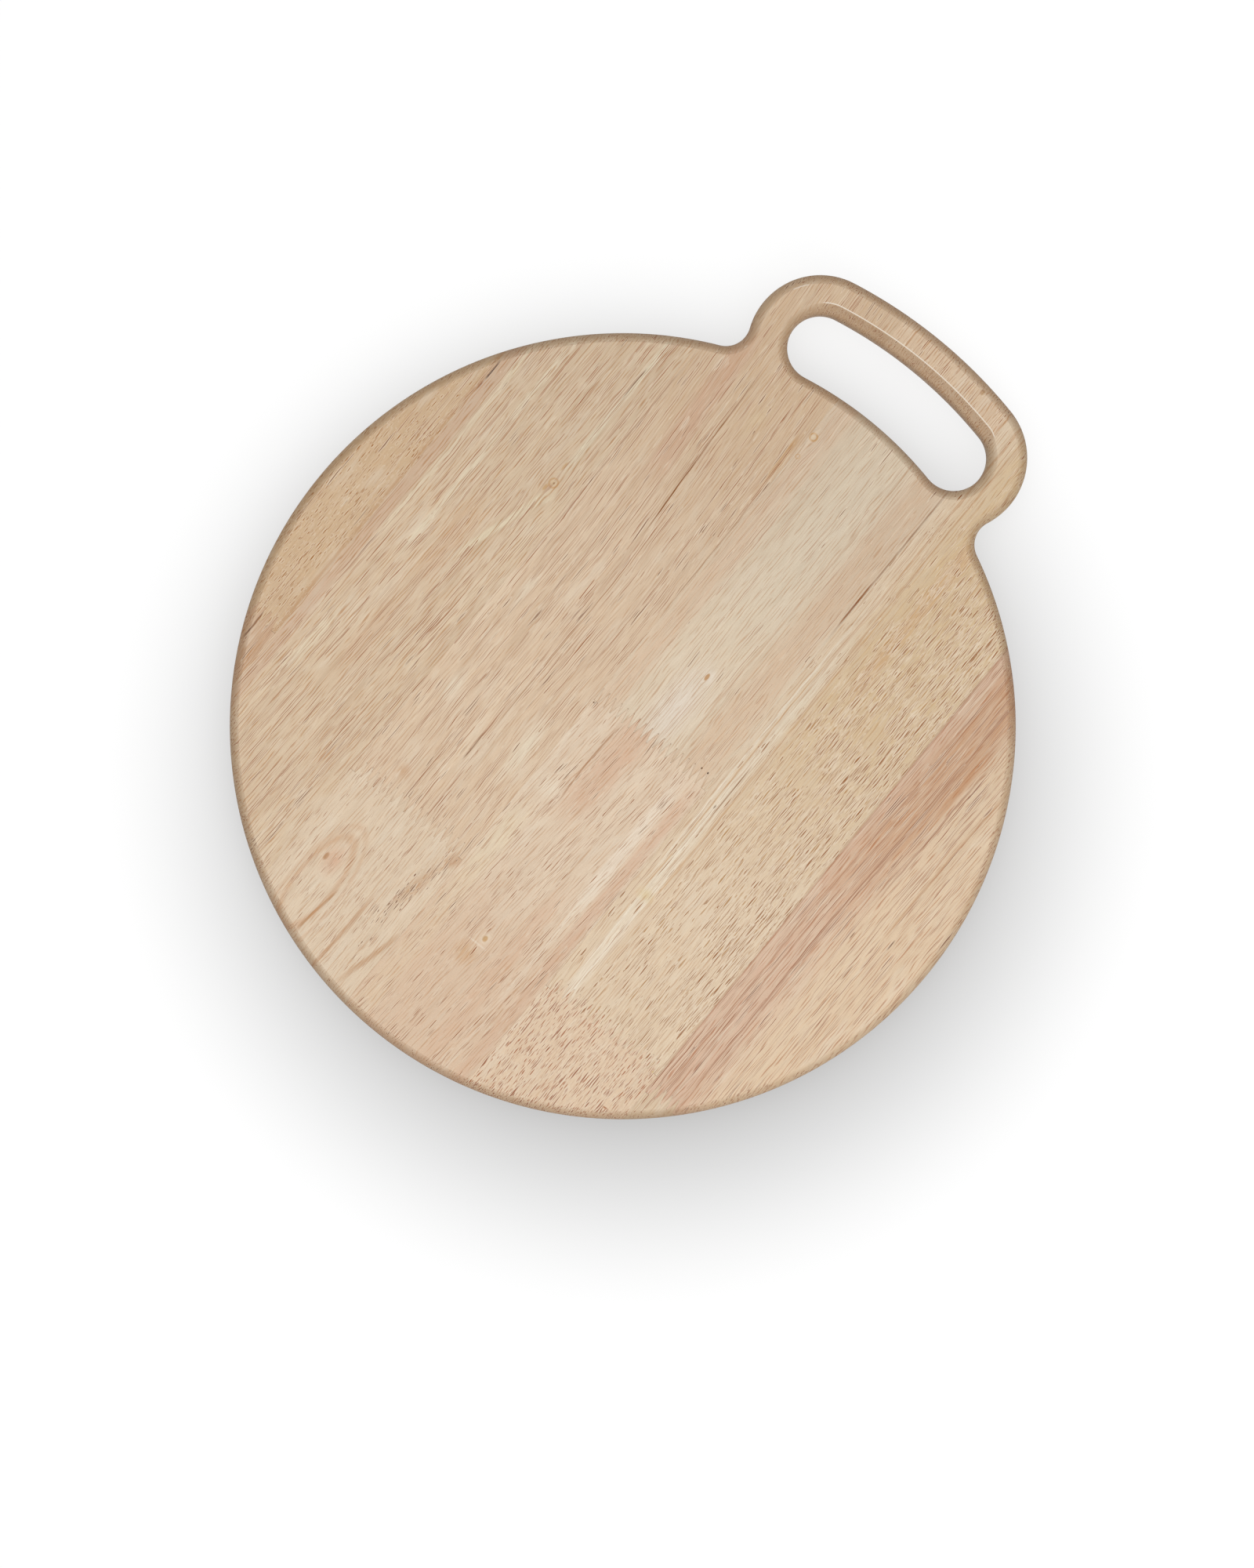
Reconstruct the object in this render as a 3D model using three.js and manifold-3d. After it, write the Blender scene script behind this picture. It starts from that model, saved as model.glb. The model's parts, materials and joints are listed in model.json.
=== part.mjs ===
// Round serving board with a loop handle, edge-glued from finger-jointed hardwood staves.
// Millimetres, +Z up. The origin is on the underside, at the centre of the round.
// The staves run along Y, and the handle points to +Y.

import * as THREE from 'three';
import { mergeVertices } from 'three/addons/utils/BufferGeometryUtils.js';
import Module from 'manifold-3d';

// Round
const roundRadius = 190;
const boardThickness = 20;
const edgeRadius = 5; // round-over on every edge, the hand hole's too
const edgeLimit = 0.45; // most of the thinnest wall that the round-over may take from each side

// Loop handle, drawn about the same centre as the round
const handHoleLength = 116; // along the middle of the slot, over its round ends
const handHoleWidth = 32;
const handleBand = 19.5; // wood left all round the hand hole
const handleFillet = 12; // hollow where the handle meets the round

// Staves, all of one width before the round is cut
const staveWidth = 69.5;
const centreSeam = -19; // x of the seam left of the centre
const leastStrip = 10; // an edge strip narrower than this stays on its neighbour
const glueLine = 0.1;

// Length of each stave's lower piece on its longer side, by the stave's number from the left
const foot1 = 33.8;
const foot3 = 90.1;
const foot4 = 191;
const foot5 = 63;
const foot6 = 17.7;

// Finger joints, cut through the thickness so that the fingers show on both faces
const fingerPitch = 3.8;
const fingerLength = 7;
const fingerTip = 0.6; // blunt end of a finger
const fingerTipGap = 0.4;
const leastShoulder = 1.5; // straight stretch kept beside each seam

// Sawn stock stands this far past the finished board before shaping
const overhang = 10;

// Facets
const facetSag = 0.06;
const edgeSteps = 4;
const weldDistance = 0.001;

// Wood tones
const golden = 0xcaae8e;
const tan = 0xceb69b;
const rose = 0xd0b298;
const cream = 0xd6c0a6;
const waxedWood = { roughness: 0.62, metalness: 0 };

// Staves by number from the left. A stave with no foot is one length of wood, and the one with
// a grip is sawn through at the hand hole.
const staves = {
  1: { foot: foot1, upper: golden, lower: rose },
  2: { upper: tan },
  3: { foot: foot3, upper: rose, lower: cream },
  4: { foot: foot4, hasGrip: true, upper: cream, lower: rose },
  5: { foot: foot5, upper: cream, lower: tan },
  6: { foot: foot6, upper: golden, lower: cream },
};
const centreStave = 4; // stands right of the centre seam
const spareStave = { upper: tan }; // a wider round gains plain staves at its sides

const wasm = await Module();
wasm.setup();

function toSolid(geometry) {
  geometry.deleteAttribute('normal');
  geometry.deleteAttribute('uv');
  const welded = mergeVertices(geometry, weldDistance);
  return new wasm.Manifold(new wasm.Mesh({
    numProp: 3,
    vertProperties: welded.attributes.position.array,
    triVerts: welded.index.array,
  }));
}

function toGeometry(solid) {
  const { vertProperties, triVerts } = solid.getMesh();
  const geometry = new THREE.BufferGeometry();
  geometry.setAttribute('position', new THREE.BufferAttribute(vertProperties, 3));
  geometry.setIndex(new THREE.BufferAttribute(triVerts, 1));
  geometry.computeVertexNormals();
  return geometry;
}

function polar(radius, angle) {
  return new THREE.Vector2(radius * Math.cos(angle), radius * Math.sin(angle));
}

// Points along an arc, without its last point, which the next arc starts on
function arcPoints(centre, radius, from, to) {
  const widestStep = 2 * Math.acos(1 - facetSag / radius);
  const steps = Math.ceil(Math.abs(to - from) / widestStep);
  const pointAt = (step) => polar(radius, from + ((to - from) * step) / steps).add(centre);
  return Array.from({ length: steps }, (_, step) => pointAt(step));
}

// A closed outline from its right half, which starts on the handle's axis and ends at last
function mirrorHalf(half, last) {
  const leftHalf = half.slice(1).reverse().map(({ x, y }) => new THREE.Vector2(-x, y));
  return [...half, last, ...leftHalf];
}

// Handle geometry: the slot follows a circle about the board's centre
const origin = new THREE.Vector2();
const handleAxis = Math.PI / 2;
const slotEndRadius = handHoleWidth / 2;
const slotRadius = roundRadius + slotEndRadius;
const slotAngle = handleAxis - (handHoleLength - handHoleWidth) / 2 / slotRadius;
const slotEnd = polar(slotRadius, slotAngle);
const slotOuterRadius = roundRadius + handHoleWidth;
const handleEndRadius = slotEndRadius + handleBand;
const handleRadius = slotOuterRadius + handleBand;
const rim = roundRadius + overhang;

// Right half of the board: round, hollow fillet, handle end, top of the handle
function boardOutline() {
  const filletReach = roundRadius + handleFillet;
  const filletToEnd = handleEndRadius + handleFillet;
  const cosine = (slotRadius ** 2 + filletReach ** 2 - filletToEnd ** 2) / (2 * slotRadius * filletReach);
  const filletAngle = slotAngle - Math.acos(cosine);
  const fillet = polar(filletReach, filletAngle);
  const toFillet = fillet.clone().sub(slotEnd);
  const toSlotEnd = slotEnd.clone().sub(fillet);
  const rightHalf = [
    ...arcPoints(origin, roundRadius, -handleAxis, 0),
    ...arcPoints(origin, roundRadius, 0, filletAngle),
    ...arcPoints(fillet, handleFillet, filletAngle + Math.PI, Math.atan2(toSlotEnd.y, toSlotEnd.x)),
    ...arcPoints(slotEnd, handleEndRadius, Math.atan2(toFillet.y, toFillet.x), slotAngle),
    ...arcPoints(origin, handleRadius, slotAngle, handleAxis),
  ];
  return mirrorHalf(rightHalf, polar(handleRadius, handleAxis));
}

function handHoleOutline() {
  const rightHalf = [
    ...arcPoints(origin, roundRadius, handleAxis, slotAngle),
    ...arcPoints(slotEnd, slotEndRadius, slotAngle + Math.PI, slotAngle + 2 * Math.PI),
    ...arcPoints(origin, slotOuterRadius, slotAngle, handleAxis),
  ];
  return mirrorHalf(rightHalf, polar(slotOuterRadius, handleAxis));
}

// The finished outline with its rounded edges, as one blank that every stave is cut from
function boardBlank() {
  const shape = new THREE.Shape(boardOutline());
  shape.holes.push(new THREE.Path(handHoleOutline()));
  const thinnestWall = Math.min(boardThickness, handleBand);
  const edge = Math.min(edgeRadius, edgeLimit * thinnestWall);
  const geometry = new THREE.ExtrudeGeometry(shape, {
    depth: boardThickness - 2 * edge,
    bevelThickness: edge,
    bevelSize: edge,
    bevelOffset: -edge,
    bevelSegments: edgeSteps,
  });
  return toSolid(geometry.translate(0, 0, edge));
}

// The zigzag of a finger joint, from the left seam to the right one. Past the place where the rim
// would cut a finger off at its root, the line stays straight.
function fingerLine(left, right, root) {
  const fingers = Math.floor((right - left - 2 * leastShoulder) / fingerPitch);
  const firstFinger = (left + right - fingers * fingerPitch) / 2;
  const halfTip = fingerTip / 2;
  const farRoot = Math.max(-root, root + fingerLength);
  const points = [new THREE.Vector2(left + glueLine / 2, root)];
  for (let finger = 0; finger < fingers; finger += 1) {
    const start = firstFinger + finger * fingerPitch;
    const middle = start + fingerPitch / 2;
    const end = start + fingerPitch;
    if (Math.hypot(Math.max(-start, end), farRoot) > roundRadius) continue;
    points.push(new THREE.Vector2(start + halfTip, root));
    points.push(new THREE.Vector2(middle - halfTip, root + fingerLength));
    points.push(new THREE.Vector2(middle + halfTip, root + fingerLength));
    points.push(new THREE.Vector2(end - halfTip, root));
  }
  points.push(new THREE.Vector2(right - glueLine / 2, root));
  return points;
}

function straightLine(left, right, y) {
  return [new THREE.Vector2(left + glueLine / 2, y), new THREE.Vector2(right - glueLine / 2, y)];
}

// A length of sawn stock between two lines that run from the left seam to the right one
function sawnLength(lowerLine, upperLine) {
  const shape = new THREE.Shape([...lowerLine, ...upperLine.slice().reverse()]);
  const depth = boardThickness + 2 * overhang;
  const geometry = new THREE.ExtrudeGeometry(shape, { depth, bevelEnabled: false });
  return toSolid(geometry.translate(0, 0, -overhang));
}

function shifted(line, rise) {
  return line.map(({ x, y }) => new THREE.Vector2(x, y + rise));
}

// The lengths of one stave before shaping, from its lower end up, each with its place and tone
function staveLengths(left, right, { foot, hasGrip, upper, lower }) {
  const cuts = [{ line: straightLine(left, right, -rim), gap: 0 }];
  if (foot) {
    const longSide = Math.max(left, -right, 0);
    const root = foot - Math.sqrt(roundRadius ** 2 - longSide ** 2);
    cuts.push({ line: fingerLine(left, right, root), gap: fingerTipGap });
  }
  if (hasGrip) {
    cuts.push({ line: straightLine(left, right, slotRadius), gap: glueLine });
  }
  cuts.push({ line: straightLine(left, right, handleRadius + overhang), gap: 0 });
  const places = foot ? ['_lower', '_upper', '_grip'] : [''];
  const tones = foot ? [lower, upper, upper] : [upper];
  return cuts.slice(1).map((end, index) => {
    const start = cuts[index];
    const stock = sawnLength(shifted(start.line, start.gap / 2), shifted(end.line, -end.gap / 2));
    return { place: places[index], stock, tone: tones[index] };
  });
}

// One stave, shaped with the whole board. Whatever stands free beyond the round is a grip piece.
function makeStave(number, left, right, stave, blank) {
  const group = new THREE.Group();
  for (const { place, stock, tone } of staveLengths(left, right, stave)) {
    for (const piece of blank.intersect(stock).decompose()) {
      const isGrip = piece.boundingBox().min[1] > roundRadius;
      const material = new THREE.MeshStandardMaterial({ color: tone, ...waxedWood });
      const mesh = new THREE.Mesh(toGeometry(piece), material);
      mesh.name = `stave_${number}${isGrip ? '_grip' : place}`;
      group.add(mesh);
    }
  }
  return group;
}

// Seams lie at one pitch across the round, counted from the centre seam. The outer staves run past the rim.
const board = new THREE.Group();
const blank = boardBlank();
const reach = roundRadius - leastStrip;
const firstSeam = -Math.floor((reach + centreSeam) / staveWidth);
const lastSeam = Math.floor((reach - centreSeam) / staveWidth);
for (let seam = firstSeam - 1; seam <= lastSeam; seam += 1) {
  const left = seam < firstSeam ? -rim : centreSeam + seam * staveWidth;
  const right = seam === lastSeam ? rim : centreSeam + (seam + 1) * staveWidth;
  const number = centreStave + seam;
  board.add(makeStave(number, left, right, staves[number] ?? spareStave, blank));
}

export default board;
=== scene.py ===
import json
from math import acos, atan2, ceil, cos, hypot, pi, radians, sin, tan

import bmesh
import bpy
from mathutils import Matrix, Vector

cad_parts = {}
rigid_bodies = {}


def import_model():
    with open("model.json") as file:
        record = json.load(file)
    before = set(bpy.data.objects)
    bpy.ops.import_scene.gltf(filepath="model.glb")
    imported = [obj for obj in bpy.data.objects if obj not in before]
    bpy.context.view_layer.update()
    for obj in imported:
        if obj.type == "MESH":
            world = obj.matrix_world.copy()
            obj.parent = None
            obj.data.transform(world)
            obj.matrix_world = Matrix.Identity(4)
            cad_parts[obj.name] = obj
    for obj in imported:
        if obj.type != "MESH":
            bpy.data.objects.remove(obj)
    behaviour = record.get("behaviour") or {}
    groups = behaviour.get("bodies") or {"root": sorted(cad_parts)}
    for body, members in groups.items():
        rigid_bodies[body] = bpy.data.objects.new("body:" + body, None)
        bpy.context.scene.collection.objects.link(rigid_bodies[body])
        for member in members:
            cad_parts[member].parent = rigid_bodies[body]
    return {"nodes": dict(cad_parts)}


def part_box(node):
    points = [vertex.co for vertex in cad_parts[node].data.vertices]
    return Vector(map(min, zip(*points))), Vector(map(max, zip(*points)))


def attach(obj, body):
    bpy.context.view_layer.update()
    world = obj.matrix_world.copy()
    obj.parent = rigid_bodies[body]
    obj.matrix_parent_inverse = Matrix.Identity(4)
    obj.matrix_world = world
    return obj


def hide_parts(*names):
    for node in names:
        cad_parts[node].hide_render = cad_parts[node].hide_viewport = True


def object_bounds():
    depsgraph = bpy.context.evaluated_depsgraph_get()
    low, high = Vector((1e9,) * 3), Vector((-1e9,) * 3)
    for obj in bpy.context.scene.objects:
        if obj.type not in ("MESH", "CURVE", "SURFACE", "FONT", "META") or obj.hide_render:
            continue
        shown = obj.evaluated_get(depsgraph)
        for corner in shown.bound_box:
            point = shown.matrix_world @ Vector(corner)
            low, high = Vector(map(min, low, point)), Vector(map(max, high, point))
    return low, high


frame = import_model()
cadLow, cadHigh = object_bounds()
scene = bpy.context.scene
scene.view_settings.view_transform = "Standard"
print("frame loaded,", len(frame["nodes"]), "staves to dress")


# Small helpers for modelling with operators

def deselectAll():
    bpy.ops.object.select_all(action="DESELECT")


def makeActive(piece):
    deselectAll()
    piece.select_set(True)
    bpy.context.view_layer.objects.active = piece


def startMesh(name):
    deselectAll()
    bpy.ops.mesh.primitive_plane_add(size=0.01)
    piece = bpy.context.active_object
    piece.name = name
    piece.data.name = name
    bpy.ops.object.mode_set(mode="EDIT")
    bpy.ops.mesh.select_mode(type="VERT")
    bpy.ops.mesh.delete(type="VERT")
    return piece


def placeVertex(point):
    bpy.ops.mesh.select_all(action="DESELECT")
    bpy.ops.mesh.primitive_plane_add(size=0.001, location=point)
    bpy.ops.mesh.merge(type="CENTER")


def pullOut(x, y, z):
    bpy.ops.mesh.extrude_region_move(TRANSFORM_OT_translate={"value": (x, y, z)})


def copyPiece(source, name):
    makeActive(source)
    bpy.ops.object.duplicate()
    piece = bpy.context.active_object
    piece.name = name
    piece.data.name = name
    return piece


def applyModifier(piece, kind, **settings):
    makeActive(piece)
    modifier = piece.modifiers.new(kind.lower(), kind)
    for key, value in settings.items():
        setattr(modifier, key, value)
    bpy.ops.object.modifier_apply(modifier=modifier.name)


# The whole board as one blank, swept round its outline. Staves are cut from copies of it.
boardShape = {
    "roundRadius": cadHigh.x,
    "handleReach": cadHigh.y,
    "thickness": cadHigh.z,
    "handHoleWidth": 0.032,
    "handHoleLength": 0.116,
    "handleFillet": 0.012,
    "edgeWidth": 0.005,
    "creaseTilt": radians(22),
    "creaseRadius": 0.001,
    "creaseSegments": 3,
    "edgeSegments": 9,
    "facetSag": 0.00001,
    "weld": 0.000002,
}
roundRadius = boardShape["roundRadius"]
boardTop = boardShape["thickness"]
slotRadius = roundRadius + boardShape["handHoleWidth"] / 2

# the round-over starts at a soft crease, so its own arc is a little flatter than a quarter round
creaseTilt = boardShape["creaseTilt"]
creaseRadius = boardShape["creaseRadius"]
edgeRadius = (boardShape["edgeWidth"] - creaseRadius * sin(creaseTilt)) / (1 - sin(creaseTilt))
edgeDrop = creaseRadius + (edgeRadius - creaseRadius) * cos(creaseTilt)


def polar(radius, angle):
    return Vector((radius * cos(angle), radius * sin(angle), 0))


def sweep(centre, radius, turn):
    step = 2 * acos(1 - boardShape["facetSag"] / radius)
    bpy.ops.mesh.spin(steps=ceil(abs(turn) / step), angle=-turn, center=centre, axis=(0, 0, 1))


def turnProfile(y, z, turn, steps):
    bpy.ops.mesh.spin(steps=steps, angle=-turn, center=(0, y, z), axis=(1, 0, 0))


def addEdgeProfile(y):
    # crease, rounded edge, wall, rounded edge, crease, with the wood towards +Y
    inner = y + boardShape["edgeWidth"]
    outer = y + edgeRadius
    creaseSteps = boardShape["creaseSegments"]
    edgeSteps = boardShape["edgeSegments"]
    placeVertex((0, inner, boardTop))
    turnProfile(inner, boardTop - creaseRadius, creaseTilt, creaseSteps)
    turnProfile(outer, boardTop - edgeDrop, pi / 2 - creaseTilt, edgeSteps)
    pullOut(0, 0, 2 * edgeDrop - boardTop)
    turnProfile(outer, edgeDrop, pi / 2 - creaseTilt, edgeSteps)
    turnProfile(inner, creaseRadius, creaseTilt, creaseSteps)
    bpy.ops.mesh.select_linked()


def closeLevel(piece, level):
    bpy.ops.mesh.select_mode(type="EDGE")
    bpy.ops.mesh.select_all(action="DESELECT")
    mesh = bmesh.from_edit_mesh(piece.data)
    for edge in mesh.edges:
        if edge.is_boundary and all(abs(v.co.z - level) < boardShape["weld"] for v in edge.verts):
            edge.select_set(True)
    bmesh.update_edit_mesh(piece.data)
    bpy.ops.mesh.fill(use_beauty=True)


# The grip's inner top edge is a wider flat slope for the fingers, which dies out round the hole's ends
gripSlope = {
    "width": 0.0065,
    "tilt": radians(36),
    "crease": 0.0011,
    "creaseStretch": 2,
    "corner": 0.0012,
    "leftEnd": radians(60),
    "rightEnd": radians(25),
}


def slopePoint(fromWall):
    # where a place on the plain edge goes on the slope: distance from the wall, and drop
    width, corner, crease = gripSlope["width"], gripSlope["corner"], gripSlope["crease"]
    steepness = tan(gripSlope["tilt"])
    along = fromWall * width / boardShape["edgeWidth"]
    cornerDrop = (width - corner - crease / 2) * steepness
    if along < corner:
        turn = 1 - along / corner
        bend = cornerDrop + corner * steepness
        drop = (1 - turn) ** 2 * cornerDrop + 2 * turn * (1 - turn) * bend + turn ** 2 * edgeDrop
        return corner * (1 - turn) ** 2, drop
    into = width - along
    if fromWall > boardShape["edgeWidth"] - creaseRadius * sin(creaseTilt) - boardShape["weld"]:
        into *= gripSlope["creaseStretch"]
    drop = steepness * (into - crease / 2)
    if into < crease:
        drop = steepness * into ** 2 / (2 * crease)
    return width - into, drop


def slopeGrip(piece, leftEnd, rightEnd, halfSpread):
    slotEndRadius = boardShape["handHoleWidth"] / 2
    mesh = bmesh.from_edit_mesh(piece.data)
    for vertex in mesh.verts:
        place = Vector((vertex.co.x, vertex.co.y, 0))
        if boardTop - vertex.co.z > edgeDrop + boardShape["weld"] or place.y < roundRadius:
            continue
        outward = place.normalized()
        wall = outward * (slotRadius + slotEndRadius)
        share = 1
        if abs(atan2(place.x, place.y)) > halfSpread:
            end, reach = (leftEnd, gripSlope["leftEnd"]) if place.x < 0 else (rightEnd, gripSlope["rightEnd"])
            outward = (place - end).normalized()
            wall = end + outward * slotEndRadius
            share = max(0, 1 - outward.angle(end) / reach)
            share = share * share * (3 - 2 * share)
        fromWall = (place - wall).dot(outward)
        if -boardShape["weld"] < fromWall < boardShape["edgeWidth"] + boardShape["weld"]:
            slopeFromWall, drop = slopePoint(fromWall)
            target = wall + outward * slopeFromWall
            target.z = boardTop - drop
            vertex.co = vertex.co.lerp(target, share)
    bmesh.update_edit_mesh(piece.data)


def makeBlank():
    slotEndRadius = boardShape["handHoleWidth"] / 2
    slotOuterRadius = roundRadius + boardShape["handHoleWidth"]
    handleEndRadius = boardShape["handleReach"] - slotRadius
    halfSpread = (boardShape["handHoleLength"] / 2 - slotEndRadius) / slotRadius
    centre = Vector((0, 0, 0))
    rightEnd = polar(slotRadius, pi / 2 - halfSpread)
    leftEnd = polar(slotRadius, pi / 2 + halfSpread)

    # the hollow fillet touches the round and the handle's end
    filletRadius = boardShape["handleFillet"]
    filletReach = roundRadius + filletRadius
    filletToEnd = handleEndRadius + filletRadius
    cosine = (slotRadius ** 2 + filletReach ** 2 - filletToEnd ** 2) / (2 * slotRadius * filletReach)
    filletAngle = pi / 2 - halfSpread - acos(cosine)
    rightFillet = polar(filletReach, filletAngle)
    leftFillet = polar(filletReach, pi - filletAngle)
    toEnd = rightEnd - rightFillet
    filletTurn = atan2(toEnd.y, toEnd.x) - filletAngle - pi
    endTurn = pi / 2 - halfSpread - atan2(-toEnd.y, -toEnd.x)

    blank = startMesh("boardBlank")
    addEdgeProfile(-roundRadius)
    sweep(centre, roundRadius, filletAngle + pi / 2)
    sweep(rightFillet, filletRadius, filletTurn)
    sweep(rightEnd, handleEndRadius, endTurn)
    sweep(centre, boardShape["handleReach"], 2 * halfSpread)
    sweep(leftEnd, handleEndRadius, endTurn)
    sweep(leftFillet, filletRadius, filletTurn)
    sweep(centre, roundRadius, filletAngle + pi / 2)

    addEdgeProfile(slotOuterRadius)
    sweep(centre, slotOuterRadius, halfSpread)
    sweep(leftEnd, slotEndRadius, pi)
    sweep(centre, roundRadius, -2 * halfSpread)
    sweep(rightEnd, slotEndRadius, pi)
    sweep(centre, slotOuterRadius, halfSpread)

    bpy.ops.mesh.select_all(action="SELECT")
    bpy.ops.mesh.remove_doubles(threshold=boardShape["weld"])
    slopeGrip(blank, leftEnd, rightEnd, halfSpread)
    closeLevel(blank, boardTop)
    closeLevel(blank, 0)
    bpy.ops.mesh.select_all(action="SELECT")
    bpy.ops.mesh.normals_make_consistent(inside=False)
    bpy.ops.object.mode_set(mode="OBJECT")
    return blank


blank = makeBlank()
print("blank swept,", len(blank.data.polygons), "faces")


# Staves are parted at the seams, and their lengths at the finger joints
fingerJoint = {
    "pitch": 0.0038,
    "tip": 0.0006,
    "cadGap": 0.0004,
    "gap": 0.00007,
    "leastShoulder": 0.0015,
    "overrun": 0.03,
    "seamClosing": 0.00004,
    "stockOverhang": 0.01,
}


def partAlong(piece, axis, low=None, high=None):
    makeActive(piece)
    bpy.ops.object.mode_set(mode="EDIT")
    for place, side in ((low, "clear_inner"), (high, "clear_outer")):
        if place is not None:
            bpy.ops.mesh.select_all(action="SELECT")
            bpy.ops.mesh.bisect(plane_co=axis * place, plane_no=axis, use_fill=True,
                                threshold=boardShape["weld"], **{side: True})
    bpy.ops.object.mode_set(mode="OBJECT")


def jointSides(left, right):
    # an edge stave's stock ran past the rim before the round was cut
    edge = boardShape["weld"]
    reach = roundRadius + fingerJoint["stockOverhang"]
    return (left if left > edge - roundRadius else -reach), (right if right < roundRadius - edge else reach)


def fingerRow(left, right):
    count = int((right - left - 2 * fingerJoint["leastShoulder"]) / fingerJoint["pitch"])
    return (left + right - count * fingerJoint["pitch"]) / 2, count


def makeFingerCutter(left, right, root, fingerLength):
    # one zigzag line across the stave, pulled towards -Y and then through the thickness
    pitch, tip = fingerJoint["pitch"], fingerJoint["tip"]
    overrun = fingerJoint["overrun"]
    first, count = fingerRow(*jointSides(left, right))
    farRoot = max(-root, root + fingerLength)
    cutter = startMesh("fingerCutter")
    placeVertex((left - overrun, root, -overrun))
    reached = left - overrun
    for finger in range(count):
        start = first + finger * pitch
        if hypot(max(-start, start + pitch), farRoot) > roundRadius:
            continue
        pullOut(start + tip / 2 - reached, 0, 0)
        pullOut(pitch / 2 - tip, fingerLength, 0)
        pullOut(tip, 0, 0)
        pullOut(pitch / 2 - tip, -fingerLength, 0)
        reached = start + pitch - tip / 2
    pullOut(right + overrun - reached, 0, 0)
    bpy.ops.mesh.select_all(action="SELECT")
    pullOut(0, -2 * roundRadius, 0)
    bpy.ops.mesh.select_all(action="SELECT")
    pullOut(0, 0, boardTop + 2 * overrun)
    bpy.ops.mesh.select_all(action="SELECT")
    bpy.ops.mesh.normals_make_consistent(inside=False)
    bpy.ops.object.mode_set(mode="OBJECT")
    return cutter


def partAtJoint(stave, cutter, operation, shift):
    cutter.location.y = shift
    bpy.context.view_layer.update()
    applyModifier(stave, "BOOLEAN", object=cutter, operation=operation, solver="EXACT")


def smoothRim(piece):
    makeActive(piece)
    bpy.ops.object.shade_smooth_by_angle(angle=radians(35))
    applyModifier(piece, "WEIGHTED_NORMAL", mode="FACE_AREA", weight=50, keep_sharp=True)


def removePiece(piece):
    bpy.data.meshes.remove(piece.data)


def makeStave(number, hasJoint, hasGrip=False):
    node = f"stave_{number}"
    names = [node + "_upper", node + "_lower"] if hasJoint else [node]
    low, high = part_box(names[0])
    left, right = low.x, high.x
    closing = fingerJoint["seamClosing"]
    leftCut = left - closing if left > cadLow.x + closing else None
    rightCut = right + closing if right < cadHigh.x - closing else None
    stave = copyPiece(blank, "wood_" + names[0])
    partAlong(stave, Vector((1, 0, 0)), leftCut, rightCut)
    made = {names[0]: stave}
    if hasJoint:
        root = low.y - fingerJoint["cadGap"] / 2
        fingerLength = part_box(names[1])[1].y + fingerJoint["cadGap"] / 2 - root
        foot = copyPiece(stave, "wood_" + names[1])
        made[names[1]] = foot
        half = fingerJoint["gap"] / 2
        cutter = makeFingerCutter(left, right, root, fingerLength)
        partAtJoint(foot, cutter, "INTERSECT", -half)
        partAtJoint(stave, cutter, "DIFFERENCE", half)
        removePiece(cutter)
    if hasGrip:
        grip = copyPiece(stave, "wood_" + node + "_grip")
        partAlong(grip, Vector((0, 1, 0)), low=slotRadius)
        partAlong(stave, Vector((0, 1, 0)), high=slotRadius)
        made[node + "_grip"] = grip
    for piece in made.values():
        smoothRim(piece)
    print("stave", number, "parted into", len(made))
    return made


staves = {}
staves.update(makeStave(1, hasJoint=True))
staves.update(makeStave(2, hasJoint=False))
staves.update(makeStave(3, hasJoint=True))
staves.update(makeStave(4, hasJoint=True, hasGrip=True))
staves.update(makeStave(5, hasJoint=True))
staves.update(makeStave(6, hasJoint=True))
removePiece(blank)

for node, piece in staves.items():
    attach(piece, "root")
    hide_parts(node)


# Small helpers for wood nodes. Patterns are in millimetres, with the grain along Y.

def tone(code):
    channels = [int(code[place:place + 2], 16) / 255 for place in (1, 3, 5)]
    linear = [c / 12.92 if c <= 0.04045 else ((c + 0.055) / 1.055) ** 2.4 for c in channels]
    return (*linear, 1)


def addNode(tree, kind, inputs, **settings):
    node = tree.nodes.new("ShaderNode" + kind)
    for key, value in settings.items():
        setattr(node, key, value)
    for key, value in inputs.items():
        if isinstance(value, bpy.types.NodeSocket):
            tree.links.new(value, node.inputs[key])
        else:
            node.inputs[key].default_value = value
    return node


def calc(tree, operation, *values):
    return addNode(tree, "Math", dict(enumerate(values)), operation=operation).outputs[0]


def fade(tree, value, start, end, low=0, high=1):
    inputs = {"Value": value, "From Min": start, "From Max": end, "To Min": low, "To Max": high}
    return addNode(tree, "MapRange", inputs, interpolation_type="SMOOTHSTEP").outputs[0]


def lay(tree, factor, under, over, blend="MIX"):
    return addNode(tree, "Mix", {0: factor, 6: under, 7: over}, data_type="RGBA", blend_type=blend).outputs[2]


def stretch(tree, grain, across, along, shift=0):
    # grain coordinates divided by a pattern's size across and along the fibres
    parts = {
        "X": calc(tree, "MULTIPLY_ADD", grain["u"], 1 / across, grain["seed"] + shift),
        "Y": calc(tree, "MULTIPLY_ADD", grain["y"], 1 / along, grain["seed"] * 1.7 + shift),
        "Z": calc(tree, "MULTIPLY_ADD", grain["z"], 1 / across, shift),
    }
    return addNode(tree, "CombineXYZ", parts).outputs[0]


def noise(tree, vector, detail=2, roughness=0.5):
    inputs = {"Vector": vector, "Scale": 1, "Detail": detail, "Roughness": roughness}
    return addNode(tree, "TexNoise", inputs).outputs[0]


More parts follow.
